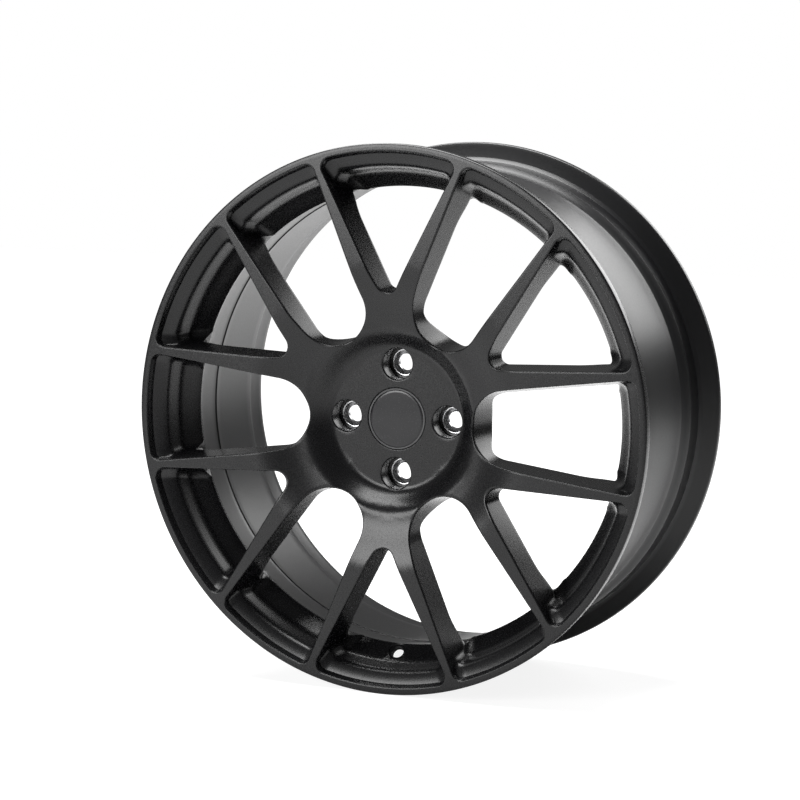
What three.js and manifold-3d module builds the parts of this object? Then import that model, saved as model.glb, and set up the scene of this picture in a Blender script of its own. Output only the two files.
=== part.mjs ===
// A forged racing wheel rim: 18 inch, 7.5 inch wide, four bolts on a 100 mm circle.
// Millimetres. The wheel turns about the Y axis. The origin is the centre of the rim,
// -Y is the outer face that shows on the car, +Y points to the car, and +Z is up.
// A profile is a list of [radius, y] points, and it is turned about the Y axis.
import * as THREE from "three";
import { mergeVertices } from "three/addons/utils/BufferGeometryUtils.js";
import Module from "manifold-3d";

const wasm = await Module();
wasm.setup();

// ---- Driving dimensions -------------------------------------------------------------------

// Rim, to the usual J contour.
const BEAD_DIAMETER = 462; // where the tyre bead sits
const RIM_WIDTH = 190.5; // between the tyre sides of the two flanges
const FLANGE_HEIGHT = 17.3; // flange crest above the bead seat
const FLANGE_THICKNESS = 12.5;
const LIP_CREST_WIDTH = 9; // straight part of the outer lip's crest
const BEAD_SEAT_LENGTH = 20.5; // flange to safety hump
const BEAD_SEAT_DROP = 1.4; // the seat's 5 degree taper over its length
const WELL_DEPTH = 17.5; // drop centre below the bead seat
const WELL_WIDTH = 10;
const SEAT_WALL = 4;
const WELL_WALL = 3.2;
const BARREL_WALL = 3.8;
const LIP_WIDTH = 6.8; // flat front ring outside the windows

// Face: hub, Y spokes and windows.
const SPOKE_COUNT = 6;
const FACE_DISH = 30; // how far the hub's front lies behind the lip
const SHOULDER_DEPTH = 12.5; // how far the spokes' roots lie behind the lip
const HUB_FLAT_RADIUS = 62;
const BOWL_RADIUS = 86; // end of the hollow round the hub
const SHOULDER_START = 84;
const SHOULDER_END = 140; // beyond it the spokes are level with the lip
const SPOKE_THICKNESS = 30;
const HUB_RADIUS = 88; // the hub ends here, and the Y spokes start
const NOTCH_BOTTOM = 115; // window inside a Y: its bottom and bottom radius
const NOTCH_RADIUS = 11.5;
const NOTCH_TIP_ANGLE = 16.4; // its side meets the lip this far round from its middle
const ARCH_BOTTOM = 78.5; // window between two Ys
const ARCH_RADIUS = 34.4;
const ARCH_TIP_ANGLE = 12.35;
const WINDOW_CORNER_RADIUS = 11;
const DRAFT_ANGLE = 7.6; // the windows narrow towards the rear
const DRAFT_DEPTH = 48;

// Hub.
const OFFSET = 52; // mounting face to the rim's centre plane
const PAD_RADIUS = 77;
const PAD_SLOPE_LENGTH = 25; // from the pad's edge out to the spokes' rear
const CENTRE_BORE = 56.1;
const CAP_RECESS_DEPTH = 4.3;
const CLIP_BORE = 51;
const CLIP_LAND_LENGTH = 7.4;
const BOLT_COUNT = 4;
const BOLT_CIRCLE = 100;
const POCKET_DIAMETER = 29;
const POCKET_DEPTH = 17;
const SEAT_DIAMETER = 24.6; // bright lug seat
const SEAT_LENGTH = 6.3;
const SEAT_MOUTH = 22;
const SEAT_TAPER_LENGTH = 3.6;
const BOLT_HOLE = 15;

// Valve hole, in the bottom window.
const VALVE_HOLE = 11.3;
const VALVE_SPOT_FACE = 17;
const VALVE_SPOT_DEPTH = 0.6;

// Centre cap.
const CAP_DIAMETER = 56.4;
const CAP_SETBACK = 0.3; // behind the hub's front face
const CAP_EDGE_WIDTH = 1.8;
const CAP_FACE_THICKNESS = 1.6;
const CAP_DOME = 0.5;
const CLIP_COUNT = 6;
const CLIP_WIDTH_ANGLE = 34;
const CLIP_THICKNESS = 1.6;
const CLIP_LENGTH = 15;
const CLIP_BEAD_LENGTH = 2.4;
const CLIP_BEAD_HEIGHT = 0.7;
const SPRING_WIRE = 1.4;

const GAP = 0.3; // between pieces that touch
const RIM_SEGMENTS = 60; // a multiple of the spoke count and of the bolt count
const CAP_SEGMENTS = 36;
const SMALL_SEGMENTS = 24;
const OVERSHOOT = 5; // how far a cutter runs past what it cuts

// ---- Dimensions that follow ---------------------------------------------------------------

const halfWidth = RIM_WIDTH / 2 + FLANGE_THICKNESS;
const frontY = -halfWidth;
const seatRadius = BEAD_DIAMETER / 2;
const crestRadius = seatRadius + FLANGE_HEIGHT;
const wellRadius = seatRadius - WELL_DEPTH;
const lipInnerRadius = crestRadius - LIP_WIDTH;
const padY = -OFFSET;
const hubFrontY = frontY + FACE_DISH;
const humpY = FLANGE_THICKNESS + BEAD_SEAT_LENGTH + 3; // behind the lip, or before the rear edge
const wellStartY = humpY + 12;
const splitY = frontY + wellStartY + WELL_WIDTH / 2;
const flangeDepth = FLANGE_THICKNESS + 3; // the front flange ends here, and the front wall starts
const rearFlangeY = halfWidth - humpY - 11.5;
const capFrontY = hubFrontY + CAP_SETBACK;
const recessFloorY = hubFrontY + CAP_RECESS_DEPTH;
const capRadius = CAP_DIAMETER / 2;
const clipOuterRadius = CLIP_BORE / 2 - GAP;
const clipInnerRadius = clipOuterRadius - CLIP_BEAD_HEIGHT - CLIP_THICKNESS;
const pocketFloorY = hubFrontY + POCKET_DEPTH;
const degrees = THREE.MathUtils.degToRad;
const smoothstep = THREE.MathUtils.smoothstep;

// ---- Solids -------------------------------------------------------------------------------

// A closed geometry as a solid, with shared corners merged and collapsed triangles dropped.
function solid(geometry) {
  const bare = geometry.clone();
  bare.deleteAttribute("normal");
  bare.deleteAttribute("uv");
  const merged = mergeVertices(bare, 1e-3);
  const corners = merged.index.array;
  const kept = [];
  for (let i = 0; i < corners.length; i += 3) {
    const [a, b, c] = corners.slice(i, i + 3);
    if (a !== b && b !== c && a !== c) kept.push(a, b, c);
  }
  return new wasm.Manifold(
    new wasm.Mesh({
      numProp: 3,
      vertProperties: merged.attributes.position.array,
      triVerts: new Uint32Array(kept),
    }),
  );
}

// A solid back as a geometry.
function geometryOf(body) {
  const mesh = body.getMesh();
  const geometry = new THREE.BufferGeometry();
  const position = new THREE.BufferAttribute(mesh.vertProperties.slice(), 3);
  geometry.setAttribute("position", position);
  geometry.setIndex(new THREE.BufferAttribute(mesh.triVerts.slice(), 1));
  geometry.computeVertexNormals();
  return geometry;
}

// A profile of [radius, y] points turned about the Y axis. It closes on itself, or on the axis.
function turned(profile, segments = RIM_SEGMENTS) {
  const points = profile.map(([radius, y]) => new THREE.Vector2(radius, y));
  if (points[0].x > 0 || points.at(-1).x > 0) points.push(points[0].clone());
  if (THREE.ShapeUtils.area(points) < 0) points.reverse();
  return new THREE.LatheGeometry(points, segments);
}

// A round bar along the Y axis.
function bar(radius, fromY, toY, segments = SMALL_SEGMENTS) {
  const profile = [[0, fromY], [radius, fromY], [radius, toY], [0, toY]];
  return turned(profile, segments);
}

// Values from one limit to the other, both included.
function steps(from, to, count) {
  return Array.from({ length: count + 1 }, (_, i) => from + ((to - from) * i) / count);
}

// ---- Face surfaces ------------------------------------------------------------------------

// Front of the face: level with the lip, then down a long shoulder, then down into the bowl.
function faceFront(radius) {
  const shoulder = 1 - smoothstep(radius, SHOULDER_START, SHOULDER_END);
  const bowl = 1 - smoothstep(radius, HUB_FLAT_RADIUS, BOWL_RADIUS);
  return frontY + SHOULDER_DEPTH * shoulder + (FACE_DISH - SHOULDER_DEPTH) * bowl;
}

// Rear of the face: the mounting pad, a slope, then the spokes, which thicken at the rim.
function faceRear(radius) {
  const slope = 1 - smoothstep(radius, PAD_RADIUS, PAD_RADIUS + PAD_SLOPE_LENGTH);
  const spokeY = frontY + SPOKE_THICKNESS;
  const root = 8 * smoothstep(radius, wellRadius - 21, wellRadius + 3);
  return spokeY + (padY - spokeY) * slope + root;
}

// A window's outline, for a window that points along +Y of its own plane. It has a round
// bottom, two straight sides tangent to it, two round corners and an arc inside the lip.
// tipAngle is where a side, drawn straight on, would meet that arc.
function windowOutline(bottom, radius, tipAngle, inset) {
  const centre = new THREE.Vector2(0, bottom + radius);
  const tip = new THREE.Vector2(Math.sin(degrees(tipAngle)), Math.cos(degrees(tipAngle)));
  tip.multiplyScalar(lipInnerRadius).sub(centre);
  const angle = Math.atan2(tip.x, tip.y) - Math.asin(radius / tip.length());
  const out = new THREE.Vector2(Math.cos(angle), -Math.sin(angle));
  const along = new THREE.Vector2(Math.sin(angle), Math.cos(angle));
  const base = centre.clone().addScaledVector(out, radius - WINDOW_CORNER_RADIUS);
  const reach = lipInnerRadius - WINDOW_CORNER_RADIUS;
  const half = base.dot(along);
  const length = -half + Math.sqrt(half * half - base.lengthSq() + reach * reach);
  const corner = base.clone().addScaledVector(along, length);
  const cornerAngle = corner.angle();
  const shape = new THREE.Shape();
  const cornerRadius = WINDOW_CORNER_RADIUS - inset;
  shape.absarc(0, centre.y, radius - inset, Math.PI + angle, 2 * Math.PI - angle);
  shape.absarc(corner.x, corner.y, cornerRadius, -angle, cornerAngle);
  shape.absarc(0, 0, lipInnerRadius - inset, cornerAngle, Math.PI - cornerAngle);
  shape.absarc(-corner.x, corner.y, cornerRadius, Math.PI - cornerAngle, Math.PI + angle);
  return shape;
}

// The cutter for one window: full size at the lip's plane, and narrower with depth.
function windowCutter(bottom, radius, tipAngle, turn) {
  const inset = DRAFT_DEPTH * Math.tan(degrees(DRAFT_ANGLE));
  const outline = windowOutline(bottom, radius, tipAngle, inset);
  const geometry = new THREE.ExtrudeGeometry(outline, {
    depth: OVERSHOOT,
    bevelThickness: DRAFT_DEPTH,
    bevelSize: inset,
    bevelSegments: 1,
    curveSegments: 4,
  });
  geometry.rotateX(Math.PI / 2).translate(0, frontY, 0).rotateY(turn);
  return solid(geometry);
}

const notchCutter = windowCutter(NOTCH_BOTTOM, NOTCH_RADIUS, NOTCH_TIP_ANGLE, 0);
const spokeTurn = (2 * Math.PI) / SPOKE_COUNT;

function archCutter(index) {
  const turn = (index + 0.5) * spokeTurn;
  return windowCutter(ARCH_BOTTOM, ARCH_RADIUS, ARCH_TIP_ANGLE, turn);
}

// ---- Rim ----------------------------------------------------------------------------------

const at = (behindLip) => frontY + behindLip;
const before = (rear) => halfWidth - rear;
const grooveRadius = seatRadius - SEAT_WALL;

// Tyre side of the front flange, from the lip to the bead seat.
function flangeOuterProfile() {
  return [
    [crestRadius - 1, frontY],
    [crestRadius, at(1)],
    [crestRadius, at(LIP_CREST_WIDTH)],
    [crestRadius - 3.5, at(FLANGE_THICKNESS - 0.9)],
    [seatRadius + 3, at(FLANGE_THICKNESS)],
    [seatRadius, at(flangeDepth)],
  ];
}

// Tyre side of the front wall, from the bead seat over the safety hump to the well.
function wallOuterProfile() {
  return [
    [seatRadius, at(flangeDepth + GAP)],
    [seatRadius - BEAD_SEAT_DROP, at(humpY - 3)],
    [seatRadius - BEAD_SEAT_DROP + 1, at(humpY)],
    [seatRadius - 2.5, at(humpY + 3)],
    [wellRadius, at(wellStartY)],
    [wellRadius, splitY - GAP],
    [innerWellRadius(), splitY - GAP],
  ];
}

// Face side of the front half, from the well to the lip. It is also where the spokes end,
// so spokeGap moves it inwards for them.
function frontInnerProfile(spokeGap = 0) {
  const points = [
    [wellRadius - WELL_WALL - 0.6, at(wellStartY - 2)],
    [grooveRadius - 6, at(humpY - 1.8)],
    [grooveRadius - 3.1, at(humpY - 5)],
    [grooveRadius, at(flangeDepth)],
    [grooveRadius + 5, at(9.2)],
    [lipInnerRadius - 1.2, at(6.4)],
    [lipInnerRadius, frontY],
  ];
  return points.map(([radius, y]) => [radius - spokeGap, y]);
}

function innerWellRadius() {
  return wellRadius - WELL_WALL + 0.8;
}

function valveCutter() {
  const [foot, top] = frontInnerProfile();
  const wall = new THREE.Vector2(top[0] - foot[0], top[1] - foot[1]);
  const middle = new THREE.Vector2(foot[0], foot[1]).addScaledVector(wall, 0.58);
  const tilt = Math.atan2(wall.y, wall.x); // of the hole's axis, from the Y axis
  const hole = solid(bar(VALVE_HOLE / 2, -20, 20));
  const spot = solid(bar(VALVE_SPOT_FACE / 2, -20, VALVE_SPOT_DEPTH));
  const placed = geometryOf(hole.add(spot));
  placed.rotateX(tilt).translate(0, middle.y, -middle.x);
  return solid(placed);
}

function frontFlange() {
  const inner = frontInnerProfile().filter(([, y]) => y <= at(flangeDepth));
  return turned([...flangeOuterProfile(), ...inner]);
}

function frontWall() {
  const inner = frontInnerProfile().filter(([, y]) => y > at(flangeDepth));
  const profile = [...wallOuterProfile(), ...inner, [grooveRadius, at(flangeDepth + GAP)]];
  return geometryOf(solid(turned(profile)).subtract(valveCutter()));
}

function rimBarrel() {
  const behindWell = (y) => splitY + y;
  return turned([
    [innerWellRadius(), splitY],
    [wellRadius, splitY],
    [wellRadius, behindWell(WELL_WIDTH / 2)],
    [wellRadius + 4.2, behindWell(29)],
    [wellRadius + 6, behindWell(45)],
    [wellRadius + 10, before(62.5)],
    [wellRadius + 11, rearFlangeY],
    [wellRadius + 11 - BARREL_WALL, rearFlangeY],
    [wellRadius + 4.2 - BARREL_WALL, behindWell(29)],
  ]);
}

function rearFlange() {
  const flangeInner = seatRadius - SEAT_WALL - 0.6;
  return turned([
    [wellRadius + 11 - BARREL_WALL, rearFlangeY + GAP],
    [wellRadius + 11, rearFlangeY + GAP],
    [seatRadius - BEAD_SEAT_DROP + 0.9, before(humpY)],
    [seatRadius - BEAD_SEAT_DROP, before(humpY - 3)],
    [seatRadius, before(FLANGE_THICKNESS + 3)],
    [seatRadius + 3, before(FLANGE_THICKNESS)],
    [seatRadius + 11, before(9)],
    [crestRadius, before(5.8)],
    [crestRadius, before(1)],
    [crestRadius - 1, halfWidth],
    [seatRadius + 5, halfWidth],
    [flangeInner + 3, before(6)],
    [flangeInner, before(14)],
    [flangeInner - 0.8, before(35)],
    [flangeInner - 2.4, before(42)],
  ]);
}

// ---- Hub and spokes -----------------------------------------------------------------------

function hubProfile() {
  const front = steps(HUB_FLAT_RADIUS, HUB_RADIUS, 6).map((r) => [r, faceFront(r)]);
  const rear = steps(HUB_RADIUS, PAD_RADIUS, 3).map((r) => [r, faceRear(r)]);
  const landEndY = recessFloorY + CLIP_LAND_LENGTH;
  return [
    [CENTRE_BORE / 2, landEndY],
    [CLIP_BORE / 2, landEndY],
    [CLIP_BORE / 2, recessFloorY],
    [capRadius + GAP, recessFloorY],
    [capRadius + GAP, hubFrontY],
    ...front,
    ...rear,
    [CENTRE_BORE / 2 + 1.5, padY],
    [CENTRE_BORE / 2, padY - 1.5],
  ];
}

// The hole for one bolt: a pocket for the wrench, a socket for the seat and a clear hole.
function boltCutter() {
  const socketFloorY = pocketFloorY + SEAT_LENGTH + GAP;
  const socketRadius = SEAT_DIAMETER / 2 + GAP;
  const holeRadius = BOLT_HOLE / 2 + GAP;
  return turned([
    [0, hubFrontY - OVERSHOOT],
    [POCKET_DIAMETER / 2, hubFrontY - OVERSHOOT],
    [POCKET_DIAMETER / 2, pocketFloorY],
    [socketRadius, pocketFloorY],
    [socketRadius, socketFloorY],
    [holeRadius, socketFloorY],
    [holeRadius, padY + OVERSHOOT],
    [0, padY + OVERSHOOT],
  ], SMALL_SEGMENTS);
}

function hub() {
  let body = solid(turned(hubProfile()));
  for (let i = 0; i < SPOKE_COUNT; i++) body = body.subtract(archCutter(i));
  for (let i = 0; i < BOLT_COUNT; i++) {
    const cutter = boltCutter();
    cutter.translate(0, 0, BOLT_CIRCLE / 2).rotateY((i * 2 * Math.PI) / BOLT_COUNT);
    body = body.subtract(solid(cutter));
  }
  return geometryOf(body);
}

// The wedge of the face that holds one Y, from the hub's edge to the rim.
function spokeWedge() {
  const reach = 2 * crestRadius;
  const side = reach * Math.tan(spokeTurn / 2);
  const shape = new THREE.Shape();
  shape.moveTo(0, 0).lineTo(side, reach).lineTo(-side, reach);
  const depth = 2 * halfWidth;
  const wedge = new THREE.ExtrudeGeometry(shape, { depth, bevelEnabled: false });
  return solid(wedge.rotateX(Math.PI / 2).translate(0, halfWidth, 0));
}

// The face between the hub and the rim. It runs into the rim, which then cuts it to length.
function spokeDisc() {
  const start = HUB_RADIUS + GAP;
  const end = lipInnerRadius - GAP;
  const front = steps(start, SHOULDER_END, 8).map((r) => [r, faceFront(r)]);
  const rear = steps(wellRadius + 3, start, 12).map((r) => [r, faceRear(r)]);
  const [lastRadius, lastY] = rear[0];
  const [foot, top, ...rest] = frontInnerProfile(GAP + 0.15);
  const share = (lastY - top[1]) / (foot[1] - top[1]);
  const meetRadius = top[0] + (foot[0] - top[0]) * Math.min(Math.max(share, 0), 1);
  const root = rear.filter(([radius]) => radius < meetRadius - 1);
  const rimSide = rest.toReversed().slice(1);
  return turned([...front, [end, frontY], ...rimSide, top, [meetRadius, lastY], ...root]);
}

function ySpoke() {
  let body = solid(spokeDisc()).intersect(spokeWedge()).subtract(notchCutter);
  for (const index of [-1, 0]) body = body.subtract(archCutter(index));
  return geometryOf(body);
}

// ---- Lug seats and centre cap -------------------------------------------------------------

function lugSeat() {
  const rearY = pocketFloorY + SEAT_LENGTH;
  return turned([
    [SEAT_DIAMETER / 2, pocketFloorY],
    [SEAT_MOUTH / 2, pocketFloorY],
    [BOLT_HOLE / 2, pocketFloorY + SEAT_TAPER_LENGTH],
    [BOLT_HOLE / 2, rearY],
    [SEAT_DIAMETER / 2, rearY],
  ], SMALL_SEGMENTS);
}

// Clip fingers stand behind the cap's flange. A cut leaves CLIP_COUNT of them.
function clipRing(flangeRearY) {
  const endY = flangeRearY + CLIP_LENGTH;
  const ring = solid(turned([
    [clipInnerRadius, flangeRearY - 1],
    [clipInnerRadius + CLIP_THICKNESS, flangeRearY - 1],
    [clipInnerRadius + CLIP_THICKNESS, endY - CLIP_BEAD_LENGTH],
    [clipOuterRadius, endY - CLIP_BEAD_LENGTH / 2],
    [clipInnerRadius + CLIP_THICKNESS, endY],
    [clipInnerRadius, endY],
  ]));
  const slotTurn = (2 * Math.PI) / CLIP_COUNT;
  const slotWidth = 2 * clipOuterRadius * Math.sin(slotTurn / 2 - degrees(CLIP_WIDTH_ANGLE) / 2);
  const slot = new THREE.BoxGeometry(slotWidth, CLIP_LENGTH, clipOuterRadius);
  slot.translate(0, flangeRearY + CLIP_LENGTH / 2 + GAP, clipOuterRadius);
  let fingers = ring;
  for (let i = 0; i < CLIP_COUNT; i++) {
    const cutter = slot.clone().rotateY((i + 0.5) * slotTurn);
    fingers = fingers.subtract(solid(cutter));
  }
  return fingers;
}

function capBody() {
  const flangeRearY = recessFloorY - GAP;
  const innerRadius = capRadius - CAP_EDGE_WIDTH;
  const plateY = capFrontY + CAP_FACE_THICKNESS + GAP;
  const flange = solid(turned([
    [0, plateY],
    [innerRadius, plateY],
    [innerRadius, capFrontY],
    [capRadius - 0.5, capFrontY],
    [capRadius, capFrontY + 0.5],
    [capRadius, flangeRearY],
    [0, flangeRearY],
  ]));
  return geometryOf(flange.add(clipRing(flangeRearY)));
}

function capFace() {
  const radius = capRadius - CAP_EDGE_WIDTH - GAP;
  const rearY = capFrontY + CAP_FACE_THICKNESS;
  const edgeY = capFrontY + 0.2;
  const dome = steps(1, 0, 4).map((share) => [radius * share, edgeY - CAP_DOME * (1 - share * share)]);
  return turned([[0, rearY], [radius, rearY], ...dome], CAP_SEGMENTS);
}

// The wire ring that pushes the clip fingers outwards.
function capSpring() {
  const wire = SPRING_WIRE / 2;
  const ringRadius = clipInnerRadius - GAP - wire;
  const y = recessFloorY + CLIP_LENGTH - CLIP_BEAD_LENGTH - wire;
  const section = steps(0, 2 * Math.PI, 6).slice(0, -1);
  const profile = section.map((a) => [ringRadius + wire * Math.cos(a), y + wire * Math.sin(a)]);
  return turned(profile, CAP_SEGMENTS);
}

// ---- Assembly -----------------------------------------------------------------------------

const blackPaint = new THREE.MeshStandardMaterial({ color: 0x17181a, roughness: 0.42, metalness: 0.3 });
const bareSteel = new THREE.MeshStandardMaterial({ color: 0xc4c5c6, roughness: 0.28, metalness: 1 });
const capPlastic = new THREE.MeshStandardMaterial({ color: 0x1c1d1f, roughness: 0.45, metalness: 0 });
const glossFace = new THREE.MeshStandardMaterial({ color: 0x08080a, roughness: 0.08, metalness: 0 });

const wheel = new THREE.Group();
const forging = new THREE.Group();
const centreCap = new THREE.Group();
wheel.add(forging, centreCap);

function addPiece(parent, name, geometry, material, turn = 0) {
  const mesh = new THREE.Mesh(geometry, material);
  mesh.name = name;
  mesh.rotation.y = turn;
  parent.add(mesh);
}

addPiece(forging, "hub", hub(), blackPaint);
addPiece(forging, "front_flange", frontFlange(), blackPaint);
addPiece(forging, "front_wall", frontWall(), blackPaint);
addPiece(forging, "rim_barrel", rimBarrel(), blackPaint);
addPiece(forging, "rear_flange", rearFlange(), blackPaint);
const spokeGeometry = ySpoke();
for (let i = 0; i < SPOKE_COUNT; i++) {
  addPiece(forging, `y_spoke_${i + 1}`, spokeGeometry, blackPaint, i * spokeTurn);
}
const seatGeometry = lugSeat().translate(0, 0, BOLT_CIRCLE / 2);
for (let i = 0; i < BOLT_COUNT; i++) {
  addPiece(wheel, `lug_seat_${i + 1}`, seatGeometry, bareSteel, (i * 2 * Math.PI) / BOLT_COUNT);
}
addPiece(centreCap, "cap_body", capBody(), capPlastic);
addPiece(centreCap, "cap_face", capFace(), glossFace);
addPiece(centreCap, "cap_spring_ring", capSpring(), bareSteel);

export default wheel;
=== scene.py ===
# %% [markdown]
# # A forged racing wheel rim
# The real wheel is one aluminium forging: a hub with four bolt pockets, six Y-shaped spokes
# and a rim, all under one coat of satin black powder. Four bright seats sit in the pockets
# and a plastic cap closes the middle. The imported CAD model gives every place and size, and
# this file gives the surfaces and finishes. Lengths in the shape functions are millimetres,
# and each mesh is written in metres.

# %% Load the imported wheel
import math

import bmesh
import bpy
import numpy as np
from mathutils import Matrix, Vector


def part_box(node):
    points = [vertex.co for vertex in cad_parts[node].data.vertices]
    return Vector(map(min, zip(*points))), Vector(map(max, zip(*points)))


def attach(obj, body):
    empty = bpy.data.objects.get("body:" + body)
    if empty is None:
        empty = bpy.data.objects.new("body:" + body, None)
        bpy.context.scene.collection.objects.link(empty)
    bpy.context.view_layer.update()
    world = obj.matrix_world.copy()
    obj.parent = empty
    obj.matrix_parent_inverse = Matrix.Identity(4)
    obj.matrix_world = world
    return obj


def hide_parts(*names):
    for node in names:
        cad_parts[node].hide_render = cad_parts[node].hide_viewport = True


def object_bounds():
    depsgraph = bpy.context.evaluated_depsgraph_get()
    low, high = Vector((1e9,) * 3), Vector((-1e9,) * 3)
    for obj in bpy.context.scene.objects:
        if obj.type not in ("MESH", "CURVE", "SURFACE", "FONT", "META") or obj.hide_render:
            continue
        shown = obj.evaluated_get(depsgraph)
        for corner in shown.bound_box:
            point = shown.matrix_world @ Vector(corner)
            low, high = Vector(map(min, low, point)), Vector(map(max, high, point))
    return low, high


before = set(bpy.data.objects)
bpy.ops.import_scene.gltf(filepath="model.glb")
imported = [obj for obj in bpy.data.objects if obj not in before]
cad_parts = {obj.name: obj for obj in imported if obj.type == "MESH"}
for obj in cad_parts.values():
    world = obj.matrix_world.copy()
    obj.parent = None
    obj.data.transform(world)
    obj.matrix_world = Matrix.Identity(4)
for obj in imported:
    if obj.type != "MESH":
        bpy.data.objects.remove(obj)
cad_box = [list(corner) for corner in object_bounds()]
print("CAD box in metres:", cad_box)

# %% [markdown]
# The camera comes first, because everything is judged through it. It stands in front of the
# visible face, a quarter turn to the right and a little above, with a long lens. The small
# shift only frames the wheel.

# %% Camera
AZIMUTH, ELEVATION, ROLL = 24.44, 6.48, 0.094
WHEEL_TURN = -0.75  # the wheel stands this far round its own axis, in degrees
CAMERA_DISTANCE = 2.3485
FACE_CENTRE = Vector((0, -0.10475, 0))


def camera_matrix():
    """The camera's place: back along its own line of sight, then turned about the wheel's axis."""
    az, el, roll = (math.radians(a) for a in (AZIMUTH, ELEVATION, ROLL))
    back = Vector((math.sin(az) * math.cos(el), -math.cos(az) * math.cos(el), math.sin(el)))
    right = Vector((math.cos(az), math.sin(az), 0))
    up = back.cross(right)
    right_rolled = right * math.cos(roll) + up * math.sin(roll)
    up_rolled = up * math.cos(roll) - right * math.sin(roll)
    matrix = Matrix((right_rolled, up_rolled, back)).transposed().to_4x4()
    matrix.translation = FACE_CENTRE + back * CAMERA_DISTANCE
    return Matrix.Rotation(math.radians(WHEEL_TURN), 4, "Y") @ matrix


camera = bpy.data.objects.new("camera", bpy.data.cameras.new("camera"))
bpy.context.scene.collection.objects.link(camera)
camera.matrix_world = camera_matrix()
camera.data.sensor_width = 36
camera.data.lens = 117.9
camera.data.shift_x = 0.01979
camera.data.shift_y = 0.02725
camera.data.clip_end = 20
bpy.context.scene.camera = camera
bpy.context.scene.view_settings.view_transform = "Standard"
print("camera stands at", [round(x, 3) for x in camera.matrix_world.translation])

# %% [markdown]
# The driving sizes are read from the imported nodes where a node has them. The rest are the
# sizes of the forging's own features, such as its windows and rounds.

# %% Sizes
MM = 0.001


def node_box(name):
    """Lowest and highest corner of a CAD node in millimetres."""
    low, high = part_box(name)
    return np.array(low) / MM, np.array(high) / MM


flange_low, flange_high = node_box("front_flange")
wall_high = node_box("front_wall")[1]
rear_high = node_box("rear_flange")[1]
hub_high = node_box("hub")[1]
seat_low, seat_high = node_box("lug_seat_1")
cap_low, cap_high = node_box("cap_body")
FRONT = flange_low[1]
REAR = rear_high[1]
CREST = flange_high[2]
HUB_FRONT = cap_low[1] - 0.3
PAD = hub_high[1]
SPLIT = wall_high[1]
print("front, rear, crest, hub front, pad:", [round(x, 2) for x in (FRONT, REAR, CREST, HUB_FRONT, PAD)])

# %% [markdown]
# Two height functions give the face of the forging. Its front is level with the lip, falls
# down a long shoulder to the roots of the spokes, and then into the bowl round the hub. Its
# rear is the mounting pad, a slope, flat spokes and a flare where they meet the rim.

# %% Height of the front and rear of the face
SHOULDER_DEPTH = 12.5
SHOULDER = (84.0, 140.0)
BOWL = (62.0, 86.0)
SPOKE_THICKNESS = 30.0
PAD_SLOPE = (77.0, 102.0)
FLARE = (188.0, 210.4)
FLARE_HEIGHT = 20.0


def ease(x, start, end):
    """0 before start, 1 after end, and an S-curve of three t squared less two t cubed between."""
    t = np.clip((x - start) / (end - start), 0, 1)
    return t * t * (3 - 2 * t)


def front_y(radius):
    """Y of the front: the lip's plane, plus a shoulder, plus a bowl, each an S-curve of radius."""
    bowl_depth = HUB_FRONT - FRONT - SHOULDER_DEPTH
    return FRONT + SHOULDER_DEPTH * (1 - ease(radius, *SHOULDER)) + bowl_depth * (1 - ease(radius, *BOWL))


def rear_y(radius):
    """Y of the rear: the pad, an S-curve down to the flat spokes, and a square-law flare at the rim."""
    spoke = FRONT + SPOKE_THICKNESS
    flare = np.clip((radius - FLARE[0]) / (FLARE[1] - FLARE[0]), 0, 1) ** 2
    return spoke + (PAD - spoke) * (1 - ease(radius, *PAD_SLOPE)) + FLARE_HEIGHT * flare


def spoke_edge_y(radius):
    """Y of a spoke's rear edge: the same, but with only a slight thickening at the rim."""
    spoke = FRONT + SPOKE_THICKNESS
    return spoke + (PAD - spoke) * (1 - ease(radius, *PAD_SLOPE)) + 6 * ease(radius, 180, 214)


print("front at radius 60, 90, 120, 160:", front_y(np.array([60, 90, 120, 160])).round(1))

# %% [markdown]
# A turned profile is drawn as a few corners and then softened, as a die or a cutter leaves
# it. Averaging along the line rounds each corner alike, and sampling by how much the line
# turns puts the points where the curve needs them.

# %% Softened profiles
PROFILE_STEP = 0.1


def soften(corners, radius):
    """Each point of the line becomes the mean of its neighbours within radius. The line is
    continued past its ends by reflection through them, so the ends stay where they are."""
    corners = np.array(corners, float)
    lengths = np.linalg.norm(np.diff(corners, axis=0), axis=1)
    along = np.concatenate([[0], np.cumsum(lengths)])
    even = np.linspace(0, along[-1], int(along[-1] / PROFILE_STEP) + 1)
    line = np.stack([np.interp(even, along, corners[:, k]) for k in (0, 1)], 1)
    reach = int(radius / PROFILE_STEP)
    head = 2 * line[0] - line[reach:0:-1]
    tail = 2 * line[-1] - line[-2:-reach - 2:-1]
    padded = np.concatenate([head, line, tail])
    window = np.hanning(2 * reach + 3)[1:-1]
    window /= window.sum()
    return np.stack([np.convolve(padded[:, k], window, "valid") for k in (0, 1)], 1)


def pick(line, count=None, longest=9.0, turn=7.0):
    """Points of the line spaced by distance / longest + turn angle / turn, in all count of them."""
    step = np.diff(line, axis=0)
    heading = np.unwrap(np.arctan2(step[:, 1], step[:, 0]))
    turning = np.abs(np.gradient(heading))
    weight = np.linalg.norm(step, axis=1) / longest + np.degrees(turning) / turn
    cost = np.concatenate([[0], np.cumsum(weight)])
    wanted = np.linspace(0, cost[-1], count or int(cost[-1]) + 2)
    share = np.interp(wanted, cost, np.arange(len(line)))
    return np.stack([np.interp(share, np.arange(len(line)), line[:, k]) for k in (0, 1)], 1)


# %% [markdown]
# The rim's inner side has a small step inside the lip, a rounded band, a groove and a sloped
# wall down to the barrel. The windows end on it, so it is kept as a function of depth.

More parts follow.
